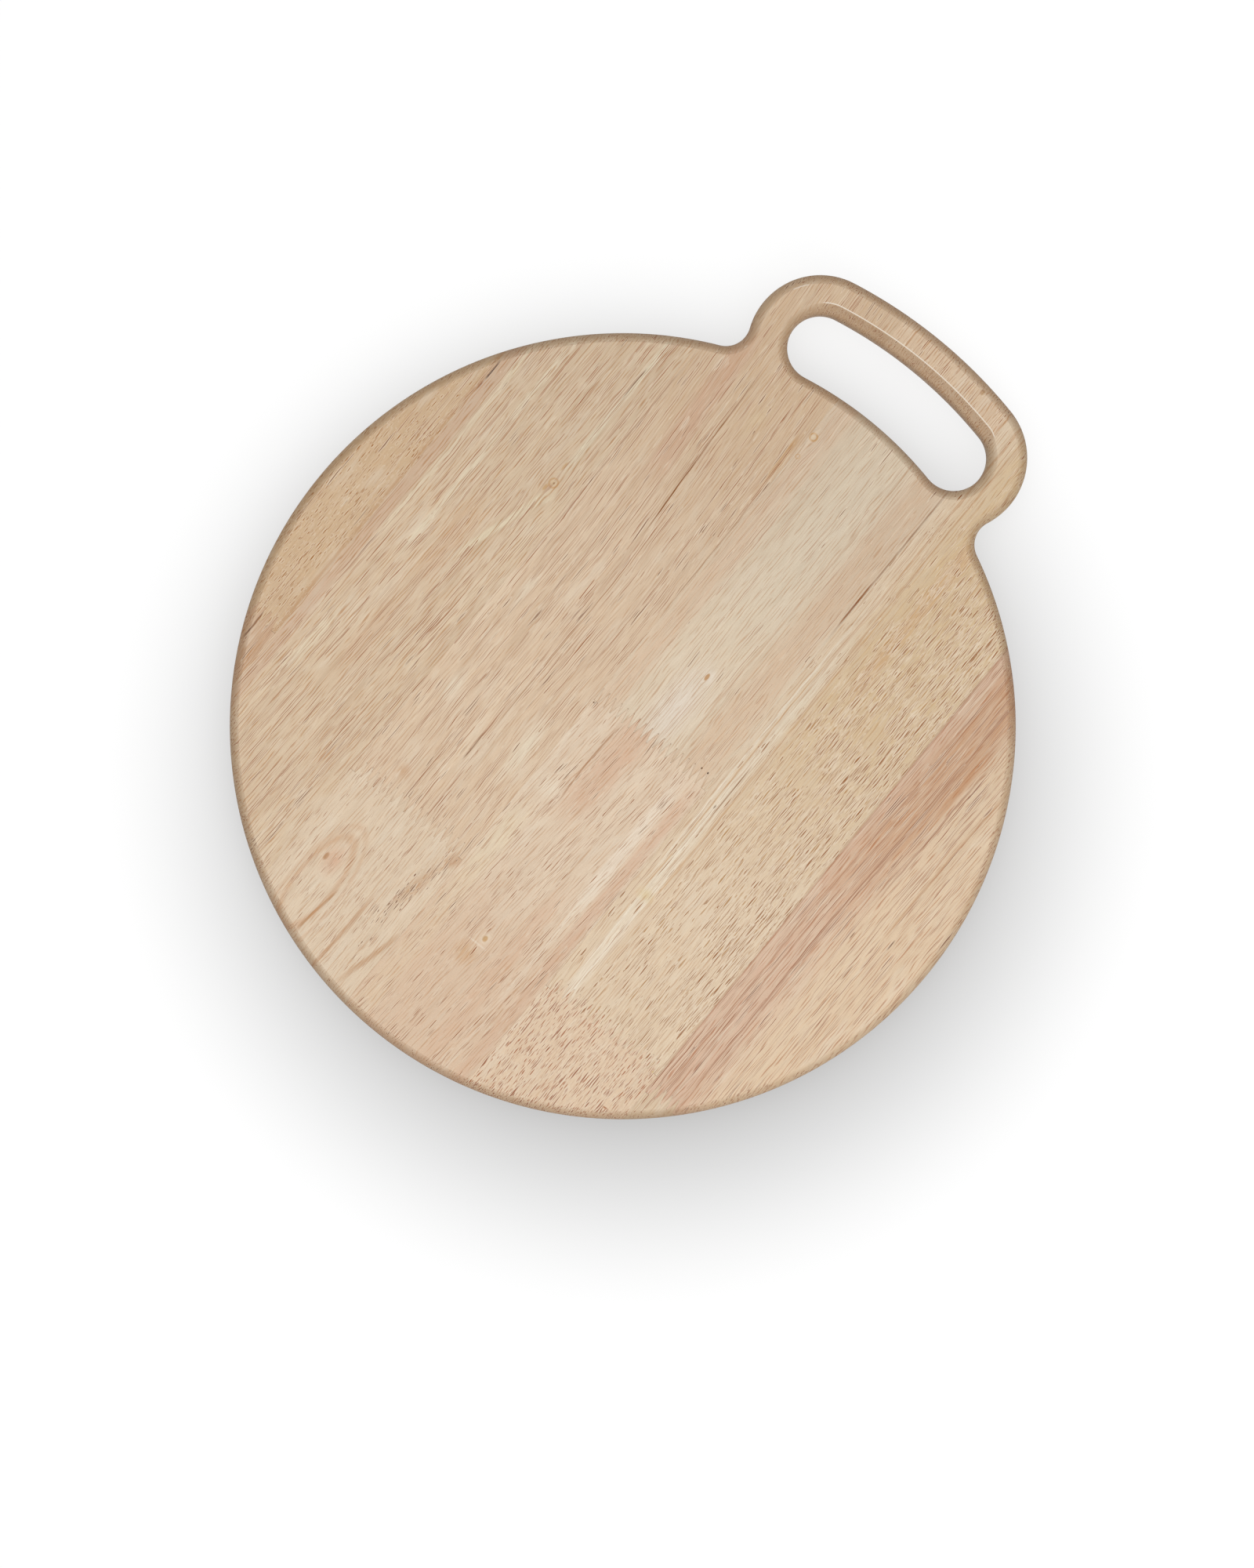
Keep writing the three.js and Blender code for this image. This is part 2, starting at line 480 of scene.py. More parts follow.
def readGrain(tree, look):
    place = addNode(tree, "TexCoord", {})
    scaled = addNode(tree, "VectorMath", {0: place.outputs["Object"], "Scale": 1000}, operation="SCALE")
    axes = addNode(tree, "SeparateXYZ", {0: scaled.outputs[0]})
    grain = {"x": axes.outputs[0], "y": axes.outputs[1], "z": axes.outputs[2], "seed": look["seed"]}
    grain["u"] = grain["x"]
    wander = noise(tree, stretch(tree, grain, look["wanderAcross"], look["wanderAlong"]), 2, 0.45)
    drift = calc(tree, "MULTIPLY_ADD", wander, 2 * look["wander"], -look["wander"])
    flow = calc(tree, "ADD", grain["x"], drift)
    above = calc(tree, "SUBTRACT", grain["y"], look["leanFrom"])
    for lean, half in ((look["lean"], "MAXIMUM"), (look["lowLean"], "MINIMUM")):
        if lean:
            flow = calc(tree, "MULTIPLY_ADD", calc(tree, half, above, 0), -lean, flow)
    for knot in look["knots"]:
        # fibres part round a knot: close to it the pattern is spread out
        around = spotDistance(tree, grain, knot["at"], (knot["reach"], 2.5 * knot["reach"]))
        bulge = calc(tree, "EXPONENT", calc(tree, "MULTIPLY", calc(tree, "POWER", around, 2), -1))
        offset = calc(tree, "SUBTRACT", grain["x"], knot["at"][0])
        push = calc(tree, "MULTIPLY", offset, calc(tree, "MULTIPLY", bulge, -knot["push"]))
        flow = calc(tree, "ADD", flow, push)
    waver = noise(tree, stretch(tree, grain, 2.5, 9, 8.3), 1, 0.5)
    grain["u"] = calc(tree, "ADD", flow, calc(tree, "MULTIPLY_ADD", waver, 2 * look["waver"], -look["waver"]))
    side = addNode(tree, "SeparateXYZ", {0: place.outputs["Normal"]})
    grain["end"] = calc(tree, "ABSOLUTE", side.outputs[1])
    grain["up"] = calc(tree, "ABSOLUTE", side.outputs[2])
    return grain


def spotDistance(tree, grain, at, size, slant=0):
    # 1 on the outline of an ellipse of this size round the spot
    across = calc(tree, "SUBTRACT", grain["x"], at[0])
    along = calc(tree, "SUBTRACT", grain["y"], at[1])
    if slant:
        across = calc(tree, "MULTIPLY_ADD", along, -slant, across)
    across = calc(tree, "MULTIPLY", across, 1 / size[0])
    along = calc(tree, "MULTIPLY", along, 1 / size[1])
    return calc(tree, "SQRT", calc(tree, "MULTIPLY_ADD", across, across, calc(tree, "POWER", along, 2)))


def bandMask(tree, grain, band):
    # a streak along the grain: middle, half width, and where it fades in and out
    across = calc(tree, "SUBTRACT", grain["x" if band.get("straight") else "u"], band["x"])
    if "lean" in band:
        along = calc(tree, "SUBTRACT", grain["y"], band.get("pivot", 0))
        across = calc(tree, "MULTIPLY_ADD", along, -band["lean"], across)
    if "bow" in band:
        along = calc(tree, "SUBTRACT", grain["y"], band.get("pivot", 0))
        bend = calc(tree, "MULTIPLY", calc(tree, "POWER", along, 2), -band["bow"])
        across = calc(tree, "ADD", across, bend)
    half = band["half"]
    soft = band.get("soft", 0.7)
    mask = fade(tree, calc(tree, "ABSOLUTE", across), half, half * (1 - soft))
    ends = band.get("ends", 12)
    for edge, sign in ((band.get("low"), 1), (band.get("high"), -1)):
        if edge is not None:
            window = fade(tree, grain["y"], edge - sign * ends, edge + sign * ends)
            mask = calc(tree, "MULTIPLY", mask, window)
    return mask


def jointMask(tree, grain, node):
    # the thin line along a stave's fingers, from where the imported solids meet
    stave = node[:len("stave_0")]
    low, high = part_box(stave + "_upper")
    root = (low.y - fingerJoint["cadGap"] / 2) * 1000
    rise = (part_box(stave + "_lower")[1].y - low.y + fingerJoint["cadGap"]) * 1000
    pitch = fingerJoint["pitch"] * 1000
    first, count = fingerRow(*jointSides(low.x, high.x))
    turn = calc(tree, "MULTIPLY", calc(tree, "SUBTRACT", grain["x"], first * 1000 + pitch / 2), 1 / pitch)
    tooth = calc(tree, "ABSOLUTE", calc(tree, "SUBTRACT", turn, calc(tree, "ROUND", turn)))
    level = calc(tree, "MULTIPLY_ADD", tooth, -2 * rise, root + rise)
    away = calc(tree, "ABSOLUTE", calc(tree, "SUBTRACT", grain["y"], level))
    flank = calc(tree, "MULTIPLY", fade(tree, away, 1.5, 0.3), fade(tree, grain["y"], root - 0.3, root + 0.6))
    aside = calc(tree, "MULTIPLY", tooth, pitch / 0.6)
    beyond = calc(tree, "MULTIPLY", calc(tree, "SUBTRACT", grain["y"], root + rise), 1 / 0.9)
    fromTip = calc(tree, "SQRT", calc(tree, "MULTIPLY_ADD", aside, aside, calc(tree, "POWER", beyond, 2)))
    return calc(tree, "MAXIMUM", calc(tree, "MULTIPLY", flank, 0.4), calc(tree, "MULTIPLY", fade(tree, fromTip, 1, 0.3), 0.6))


def poreMask(tree, grain, layer, order, cloud):
    # one pore for each cell: a thin spindle along the grain, and the pale wall round it
    across, along = layer["across"], layer["along"]
    vector = stretch(tree, grain, across, along, 3.7 * order)
    cells = addNode(tree, "TexVoronoi", {"Vector": vector, "Scale": 1, "Randomness": 1})
    picks = addNode(tree, "SeparateColor", {0: cells.outputs["Color"]})
    offset = addNode(tree, "VectorMath", {0: vector, 1: cells.outputs["Position"]}, operation="SUBTRACT")
    axes = addNode(tree, "SeparateXYZ", {0: offset.outputs[0]})
    deep = calc(tree, "MULTIPLY", axes.outputs[2], layer["flat"])
    aside = calc(tree, "MULTIPLY_ADD", axes.outputs[0], axes.outputs[0], calc(tree, "POWER", deep, 2))
    aside = calc(tree, "SQRT", aside)
    short, long = (length / 2 / along for length in layer["length"])
    reach = calc(tree, "MULTIPLY_ADD", picks.outputs[2], long - short, short)
    run = calc(tree, "DIVIDE", axes.outputs[1], reach)
    taper = calc(tree, "MAXIMUM", calc(tree, "MULTIPLY_ADD", run, calc(tree, "MULTIPLY", run, -1), 1), 0.001)
    thin, thick = (width / 2 / across for width in layer["width"])
    half = calc(tree, "MULTIPLY", calc(tree, "MULTIPLY_ADD", picks.outputs[0], thick - thin, thin), taper)

    density = layer["density"]
    for zone in layer.get("zones", ()):
        density = calc(tree, "MULTIPLY_ADD", bandMask(tree, grain, zone), zone["gain"], density)
    clump = noise(tree, stretch(tree, grain, *layer["clumpSize"], 9.1 * order), 2, 0.6)
    swing = calc(tree, "MULTIPLY_ADD", clump, 2 * layer["clump"], -layer["clump"])
    density = calc(tree, "ADD", density, swing)
    density = calc(tree, "MULTIPLY_ADD", cloud, -0.8, density)
    present = calc(tree, "LESS_THAN", picks.outputs[1], density)
    mixed = calc(tree, "FRACT", calc(tree, "MULTIPLY", calc(tree, "ADD", picks.outputs[0], picks.outputs[2]), 5.7))
    faint = layer["faint"]
    depth = calc(tree, "MULTIPLY_ADD", calc(tree, "POWER", mixed, 1.5), 1 - faint, faint)
    depth = calc(tree, "MULTIPLY", depth, present)
    core = fade(tree, aside, half, calc(tree, "MULTIPLY", half, layer["crisp"]))
    if "breaks" in layer:
        gaps = noise(tree, stretch(tree, grain, across, layer["breaks"], 4.3 * order), 1, 0.5)
        core = calc(tree, "MULTIPLY", core, fade(tree, gaps, 0.28, 0.45))
    wall = fade(tree, aside, calc(tree, "MULTIPLY", half, 2.8), calc(tree, "MULTIPLY", half, 1.3))
    return calc(tree, "MULTIPLY", core, depth), calc(tree, "MULTIPLY", wall, depth)


plainWood = {
    "seed": 0,
    "lean": 0,
    "lowLean": 0,
    "leanFrom": 0,
    "wander": 1.2,
    "wanderAcross": 20,
    "wanderAlong": 80,
    "waver": 0.35,
    "cloud": 0.4,
    "cloudTone": "#e3d3bd",
    "cloudSize": (8, 32),
    "wood": "#d8bfa2",
    "spread": 0.07,
    "streakAcross": 7,
    "streakAlong": 120,
    "streakRange": (0.3, 0.7),
    "paintedTopShade": 0.945,
    "paintedTopShadeAlong": (-20, 130),
    "fibre": 0.1,
    "fibreAcross": 0.5,
    "fibreAlong": 9,
    "speckle": 0.09,
    "speckleSize": 0.5,
    "lines": 0.6,
    "lineTone": "#ad7238",
    "lineSpacing": 1.5,
    "lineWander": 14,
    "pores": [],
    "bands": [],
    "spots": [],
    "knots": [],
    "joint": 0,
    "jointTone": "#8f6643",
    "endTone": "#a97c52",
    "endStrength": 0.2,
    "paintedEdgeShadeTone": "#d8ccbc",
    "paintedEdgeShadeStrength": 0.5,
    "crease": 0,
    "creaseHighlightTone": "#efe4d4",
}
longPores = {"across": 0.8, "along": 34, "width": (0.38, 0.6), "length": (14, 58), "flat": 0.4, "breaks": 10,
             "density": 0.76, "clump": 1.2, "clumpSize": (6, 70), "faint": 0.33, "crisp": 0.45,
             "tone": "#93501b", "strength": 0.95, "wall": 0.4}
darkPores = {"across": 1.5, "along": 17, "width": (0.45, 0.7), "length": (6, 18), "flat": 0.3,
             "density": 0.17, "clump": 0.6, "clumpSize": (6, 50), "faint": 0.6, "crisp": 0.4,
             "tone": "#743d10", "strength": 0.95, "wall": 0.5}
shortPores = {"across": 1.1, "along": 4.6, "width": (0.5, 0.9), "length": (2, 5.5), "flat": 0.35,
              "density": 0.5, "clump": 0.9, "clumpSize": (9, 13), "faint": 0.35, "crisp": 0.35,
              "tone": "#955a1c", "strength": 0.95, "wall": 0.4}
wallTone = tone("#ead9c1")


def paintWood(node, finish):
    look = {**plainWood, **finish}
    material = bpy.data.materials.new("wood_" + node)
    material.use_nodes = True
    tree = material.node_tree
    shader = tree.nodes["Principled BSDF"]
    grain = readGrain(tree, look)
    fibre = noise(tree, stretch(tree, grain, look["fibreAcross"], look["fibreAlong"], 5.3), 1, 0.5)

    streaks = noise(tree, stretch(tree, grain, look["streakAcross"], look["streakAlong"]), 4, 0.62)
    low, high = look["streakRange"]
    spread = look["spread"]
    middle = tone(look["wood"])
    dark = tuple(level * (1 - spread * share) for level, share in zip(middle, (0.9, 1.15, 1.35, 0)))
    pale = tuple(level * (1 + spread * share) for level, share in zip(middle, (0.6, 0.9, 1.1, 0)))
    colour = lay(tree, fade(tree, streaks, low, 0.5), dark, middle)
    colour = lay(tree, fade(tree, streaks, 0.5, high), colour, pale)
    frayed = calc(tree, "MULTIPLY_ADD", fibre, 1.6, 0.2)
    cloud = fade(tree, noise(tree, stretch(tree, grain, *look["cloudSize"], 1.9), 2, 0.5), 0.54, 0.74)
    colour = lay(tree, calc(tree, "MULTIPLY", cloud, look["cloud"]), colour, tone(look["cloudTone"]))
    for band in look["bands"]:
        mask = calc(tree, "MULTIPLY", bandMask(tree, grain, band), band["strength"])
        mask = calc(tree, "MULTIPLY", mask, frayed)
        colour = lay(tree, mask, colour, tone(band["tone"]))
    for spot in look["spots"]:
        around = spotDistance(tree, grain, spot["at"], spot["size"], spot.get("slant", 0))
        mask = fade(tree, around, 1, spot.get("core", 0.4))
        if "ring" in spot:
            mask = fade(tree, calc(tree, "ABSOLUTE", calc(tree, "SUBTRACT", around, 1)), spot["ring"], 0)
        mask = calc(tree, "MULTIPLY", mask, spot["strength"])
        if spot.get("frayed"):
            mask = calc(tree, "MULTIPLY", mask, frayed)
        colour = lay(tree, mask, colour, tone(spot["tone"]))

    # fine lines at a nearly even spacing, which wander and come and go along the grain
    wobble = noise(tree, stretch(tree, grain, 3.6, 30, 7.9), 2, 0.5)
    turns = calc(tree, "MULTIPLY", grain["u"], 2 * pi / look["lineSpacing"])
    waves = calc(tree, "SINE", calc(tree, "MULTIPLY_ADD", wobble, look["lineWander"], turns))
    breaks = noise(tree, stretch(tree, grain, 2.1, 10, 2.6), 1, 0.5)
    thin = calc(tree, "MULTIPLY", fade(tree, waves, 0.3, 0.95), fade(tree, breaks, 0.36, 0.64))
    colour = lay(tree, calc(tree, "MULTIPLY", thin, look["lines"]), colour, tone(look["lineTone"]))

    # fibres and speckle lighten and darken all of it, and a painted shade makes a long stave a little darker towards
    # its +Y end
    shade = calc(tree, "MULTIPLY_ADD", fibre, 2 * look["fibre"], 1 - look["fibre"])
    speckle = noise(tree, stretch(tree, grain, look["speckleSize"], 1.3 * look["speckleSize"], 6.1), 1, 0.5)
    speckle = calc(tree, "MULTIPLY_ADD", speckle, 2 * look["speckle"], 1 - look["speckle"])
    shade = calc(tree, "MULTIPLY", shade, speckle)
    shade = calc(tree, "MULTIPLY", shade, fade(tree, grain["y"], *look["paintedTopShadeAlong"], 1, look["paintedTopShade"]))
    shadeColour = addNode(tree, "CombineColor", {0: shade, 1: shade, 2: shade}).outputs[0]
    colour = lay(tree, 1, colour, shadeColour, "MULTIPLY")

    hollows = 0
    for order, layer in enumerate(look["pores"]):
        core, wall = poreMask(tree, grain, layer, order, cloud)
        colour = lay(tree, calc(tree, "MULTIPLY", wall, layer["wall"]), colour, wallTone)
        colour = lay(tree, calc(tree, "MULTIPLY", core, layer["strength"]), colour, tone(layer["tone"]))
        hollows = calc(tree, "MAXIMUM", hollows, core)

    if look["joint"]:
        mask = calc(tree, "MULTIPLY", jointMask(tree, grain, node), look["joint"])
        colour = lay(tree, mask, colour, tone(look["jointTone"]))

    # end grain drinks more oil, so it is darker where the edge crosses the fibres
    endMask = calc(tree, "MULTIPLY", fade(tree, grain["end"], 0.15, 0.95), look["endStrength"])
    colour = lay(tree, endMask, colour, tone(look["endTone"]), "MULTIPLY")
    # painted shade: rounded edges and walls are made darker wherever the face tilts away from the top
    paintedEdgeShadeMask = calc(tree, "MULTIPLY", fade(tree, grain["up"], 0.97, 0.75), look["paintedEdgeShadeStrength"])
    colour = lay(tree, paintedEdgeShadeMask, colour, tone(look["paintedEdgeShadeTone"]), "MULTIPLY")
    if look["crease"]:
        # painted highlight, with some edge wear: pale where the grip's flat top turns into its inner slope
        turning = calc(tree, "MULTIPLY", fade(tree, grain["up"], 0.88, 0.92), fade(tree, grain["up"], 0.997, 0.985))
        fromAxis = addNode(tree, "CombineXYZ", {0: grain["x"], 1: grain["y"]}).outputs[0]
        radius = addNode(tree, "VectorMath", {0: fromAxis}, operation="LENGTH").outputs["Value"]
        slopeEdge = (slotRadius + boardShape["handHoleWidth"] / 2 + gripSlope["width"]) * 1000
        onCrease = fade(tree, calc(tree, "ABSOLUTE", calc(tree, "SUBTRACT", radius, slopeEdge)), 3, 2)
        highlightAndWear = calc(tree, "MULTIPLY", calc(tree, "MULTIPLY", turning, onCrease), look["crease"])
        colour = lay(tree, highlightAndWear, colour, tone(look["creaseHighlightTone"]))
    tree.links.new(colour, shader.inputs["Base Color"])

    roughness = calc(tree, "MULTIPLY_ADD", fibre, 0.16, 0.5)
    roughness = calc(tree, "MULTIPLY_ADD", hollows, 0.12, roughness)
    tree.links.new(roughness, shader.inputs["Roughness"])
    shader.inputs["Specular IOR Level"].default_value = 0.3
    height = calc(tree, "MULTIPLY_ADD", hollows, -1, calc(tree, "MULTIPLY", fibre, 0.5))
    bump = addNode(tree, "Bump", {"Strength": 0.25, "Distance": 0.0001, "Height": height})
    tree.links.new(bump.outputs[0], shader.inputs["Normal"])
    staves[node].data.materials.clear()
    staves[node].data.materials.append(material)


paintWood("stave_1_upper", {
    "seed": 11,
    "wood": "#ceb08d",
    "spread": 0.05,
    "lines": 0.25,
    "pores": [
        {**longPores, "density": 0.15, "zones": [{"x": -170, "half": 25, "low": 40, "gain": 0.4}]},
        {**shortPores, "density": 0.8, "faint": 0.5, "tone": "#9f6520", "zones": [
            {"x": -170, "half": 25, "low": 50, "gain": -0.3},
        ]},
        {**darkPores, "density": -0.1, "zones": [{"x": -184, "half": 2.5, "low": -2, "high": 18, "gain": 0.9}]},
    ],
    "bands": [{"x": -159, "half": 1.2, "straight": True, "tone": "#b98d66", "strength": 0.5}],
})
paintWood("stave_1_lower", {
    "seed": 12,
    "wood": "#c9a686",
    "pores": [longPores, darkPores],
    "bands": [{"x": -168.5, "half": 0.7, "low": -82, "high": -67, "ends": 3, "tone": "#6f4a36", "strength": 0.8}],
})
paintWood("stave_2", {
    "seed": 20,
    "wood": "#d6bd9f",
    "spread": 0.1,
    "paintedTopShade": 0.92,
    "lowLean": 0.03,
    "leanFrom": 20,
    "pores": [
        {**longPores, "zones": [
            {"x": -154.5, "half": 4, "gain": -0.6, "straight": True},
            {"x": -120, "half": 8, "low": -5, "high": 32, "gain": 0.4},
            {"x": -96, "half": 6, "low": -170, "high": -65, "gain": 0.4},
        ]},
        {**darkPores, "density": 0.06, "zones": [
            {"x": -96, "half": 7, "low": -165, "high": 20, "gain": 0.25},
            {"x": -96, "half": 5, "low": -165, "high": -120, "gain": 0.4},
            {"x": -128.5, "half": 2, "low": 90, "high": 115, "gain": 0.5},
        ]},
    ],
    "knots": [{"at": (-100, 68.5), "reach": 6, "push": 0.6}],
    "bands": [
        {"x": -154.5, "half": 4.5, "soft": 0.6, "straight": True, "tone": "#c9a78c", "strength": 0.55},
        {"x": -149.3, "half": 2.2, "low": 0, "high": 118, "tone": "#e0cfb2", "strength": 0.6},
        {"x": -135.5, "half": 2.2, "low": 0, "high": 132, "tone": "#e2d2b6", "strength": 0.7},
        {"x": -132, "half": 0.6, "low": 98, "high": 132, "ends": 5, "tone": "#a36a46", "strength": 0.6},
        {"x": -140.5, "half": 4, "low": -82, "high": -44, "tone": "#e2d2b6", "strength": 0.6},
        {"x": -121, "half": 9, "low": -5, "high": 36, "tone": "#cda986", "strength": 0.5},
        {"x": -99.5, "half": 2, "low": 80, "high": 160, "tone": "#e2d4b9", "strength": 0.8},
        {"x": -100.3, "half": 0.5, "low": 124, "high": 139, "ends": 3, "tone": "#805334", "strength": 0.8},
        {"x": -105.5, "half": 2.6, "low": 14, "high": 64, "lean": 0.32, "pivot": 42, "tone": "#e1d1b3", "strength": 0.8},
        {"x": -121, "half": 7, "low": -64, "high": -24, "tone": "#cdaa88", "strength": 0.45},
        {"x": -157.2, "half": 0.6, "low": 88, "high": 98, "ends": 2, "straight": True, "tone": "#4f3324", "strength": 0.85},
        {"x": -157.4, "half": 0.6, "low": 81, "high": 86, "ends": 2, "straight": True, "tone": "#8d5637", "strength": 0.7},
        {"x": -87.6, "half": 0.7, "low": 70, "high": 160, "straight": True, "tone": "#94673f", "strength": 0.55},
    ],
    "spots": [
        {"at": (-100, 69.5), "size": (2.1, 2.3), "ring": 0.4, "tone": "#c08a45", "strength": 0.55},
        {"at": (-100, 69.5), "size": (1.4, 1.6), "core": 0.6, "tone": "#d9bd8c", "strength": 0.6},
        {"at": (-99.8, 69.5), "size": (0.6, 0.8), "tone": "#8a5a30", "strength": 0.8},
        {"at": (-102, 65.5), "size": (1, 2.6), "tone": "#c89a5e", "strength": 0.6},
        {"at": (-101, 79), "size": (0.8, 3.4), "tone": "#c89a5e", "strength": 0.6},
    ],
})
paintWood("stave_3_upper", {
    "seed": 31,
    "wood": "#dac0a3",
    "spread": 0.1,
    "paintedTopShade": 0.91,
    "paintedTopShadeAlong": (-20, 160),
    "lean": -0.055,
    "leanFrom": 60,
    "lines": 0.35,
    "joint": 0.3,
    "crease": 0.8,
    "pores": [
        {**longPores, "density": 0.85, "clump": 1.1, "zones": [
            {"x": -35, "half": 9, "low": 95, "high": 168, "gain": -0.5},
            {"x": -37, "half": 7, "low": 28, "high": 58, "gain": -0.7},
            {"x": -41, "half": 5, "low": -62, "high": -8, "gain": -0.6},
        ]},
        {**darkPores, "density": 0.2, "zones": [
            {"x": -17, "half": 4, "low": 60, "high": 140, "gain": 0.6},
            {"x": -61, "half": 12, "low": -95, "high": 60, "gain": 0.15},
        ]},
    ],
    "bands": [
        {"x": -54, "half": 45, "soft": 0.2, "low": 110, "ends": 60, "straight": True, "tone": "#cdab84", "strength": 0.35},
        {"x": -64, "half": 8, "low": 105, "high": 185, "tone": "#cda286", "strength": 0.5},
        {"x": -49.9, "half": 0.4, "soft": 0.5, "low": 82, "high": 168, "tone": "#87501f", "strength": 0.75},
        {"x": -47.6, "half": 0.35, "soft": 0.5, "low": -38, "high": 62, "tone": "#94602f", "strength": 0.5},
        {"x": -50, "half": 0.4, "soft": 0.5, "low": -60, "high": -44, "ends": 3, "tone": "#7a4a1e", "strength": 0.7},
        {"x": -17.5, "half": 1.6, "low": 136, "high": 160, "ends": 6, "tone": "#bf8f57", "strength": 0.7},
        {"x": -86.8, "half": 0.5, "low": 30, "high": 150, "straight": True, "tone": "#94694a", "strength": 0.5},
        {"x": -19.6, "half": 0.4, "low": 60, "high": 130, "straight": True, "tone": "#94694a", "strength": 0.5},
    ],
    "spots": [
        {"at": (-30, -40), "size": (6, 26), "core": 0, "tone": "#e7d9c0", "strength": 0.7, "frayed": True},
        {"at": (-76, -37), "size": (5, 13), "core": 0, "tone": "#e6d7bf", "strength": 0.7, "frayed": True},
        {"at": (-78, 22), "size": (4, 18), "core": 0, "tone": "#e4d3ba", "strength": 0.6, "frayed": True},
        {"at": (-44, 155), "size": (6, 16), "core": 0, "tone": "#dcc4a0", "strength": 0.5, "frayed": True},
        {"at": (-68, -84), "size": (6, 6), "core": 0, "tone": "#c1946b", "strength": 0.5, "frayed": True},
    ],
})
paintWood("stave_3_lower", {
    "seed": 32,
    "wood": "#ddc7ac",
    "lines": 0.4,
    "joint": 0.2,
    "pores": [
        {**longPores, "along": 11, "length": (4, 12), "density": 0.55, "strength": 0.8},
        {**darkPores, "across": 1.1, "along": 6, "length": (2, 7), "density": -0.2, "zones": [
            {"x": -28, "half": 7, "low": -150, "high": -98, "lean": 0.22, "pivot": -120, "gain": 0.9},
            {"x": -31, "half": 3, "low": -170, "high": -138, "gain": 0.5},
        ]},
    ],
    "knots": [{"at": (-68, -136), "reach": 9, "push": 0.5}],
    "bands": [
        {"x": -57.2, "half": 1, "low": -175, "high": -150, "ends": 4, "lean": 0.12, "pivot": -155, "tone": "#a8774a", "strength": 0.7},
        {"x": -42, "half": 1.4, "low": -187, "high": -142, "lean": 0.05, "pivot": -165, "tone": "#b98a62", "strength": 0.6},
        {"x": -24, "half": 2, "low": -178, "high": -148, "lean": 0.25, "pivot": -163, "tone": "#b98a60", "strength": 0.6},
    ],
    "spots": [
        {"at": (-71, -139), "size": (1.5, 3), "tone": "#a8743f", "strength": 0.8},
        {"at": (-67, -152), "size": (9.5, 27), "ring": 0.2, "tone": "#c79a73", "strength": 0.5, "frayed": True},
        {"at": (-66, -156), "size": (13, 38), "ring": 0.1, "tone": "#cba27e", "strength": 0.35, "frayed": True},
        {"at": (-67, -138), "size": (7, 13), "core": 0, "tone": "#d3a98b", "strength": 0.7, "frayed": True},
        {"at": (-22, -102), "size": (5, 9), "core": 0, "slant": 0.3, "tone": "#b48053", "strength": 0.65, "frayed": True},
        {"at": (-28, -122), "size": (4, 22), "core": 0, "slant": 0.22, "tone": "#b9895c", "strength": 0.55, "frayed": True},
    ],
})
paintWood("stave_4_upper", {
    "seed": 41,
    "wood": "#dcc9af",
    "paintedTopShade": 0.905,
    "paintedTopShadeAlong": (20, 170),
    "lines": 0.4,
    "joint": 0.45,
    "pores": [
        {**longPores, "density": 0.35, "strength": 0.6, "zones": [
            {"x": 40, "half": 12, "gain": 0.3},
            {"x": -12, "half": 8, "gain": 0.3},
        ]},
        {**darkPores, "density": 0, "zones": [{"x": 46, "half": 5, "low": 90, "gain": 0.25}]},
    ],
    "knots": [
        {"at": (16.5, 44.5), "reach": 3.5, "push": 0.5},
        {"at": (-17, 166), "reach": 4, "push": 0.6},
    ],
    "bands": [
        {"x": -13, "half": 9, "tone": "#d6b89b", "strength": 0.6},
        {"x": 41, "half": 13, "tone": "#d5b799", "strength": 0.65},
        {"x": 28.5, "half": 0.8, "tone": "#c19b7a", "strength": 0.4},
        {"x": 49.9, "half": 0.6, "low": 100, "high": 185, "straight": True, "tone": "#8d5b36", "strength": 0.6},
        {"x": 49.6, "half": 0.5, "soft": 0.4, "low": 106, "high": 128, "ends": 4, "straight": True,
         "tone": "#87481a", "strength": 0.85},
    ],
    "spots": [
        {"at": (14, 22), "size": (15, 38), "core": 0, "tone": "#e5d9cb", "strength": 0.6, "frayed": True},
        {"at": (14, 115), "size": (18, 75), "core": 0, "tone": "#e0d1b9", "strength": 0.5, "frayed": True},
        {"at": (17.5, 44.5), "size": (4, 6), "core": 0.2, "tone": "#e9dccb", "strength": 0.6},
        {"at": (16.5, 44), "size": (1.1, 2.5), "core": 0.6, "tone": "#bd8b55", "strength": 0.85},
        {"at": (-17, 166), "size": (1.8, 1.8), "ring": 0.45, "tone": "#c89450", "strength": 0.75},
        {"at": (-17, 166), "size": (1.2, 1.2), "tone": "#e2cba4", "strength": 0.6},
        {"at": (-17, 154), "size": (1, 1.1), "ring": 0.5, "tone": "#c89450", "strength": 0.5},
        # painted shade: dark dots stand for small open voids at two finger tips
        {"at": (42.35, 8.4), "size": (0.55, 0.8), "tone": "#2f2118", "strength": 0.95},
        {"at": (46.15, 8.4), "size": (0.55, 0.8), "tone": "#2f2118", "strength": 0.95},
    ],
})
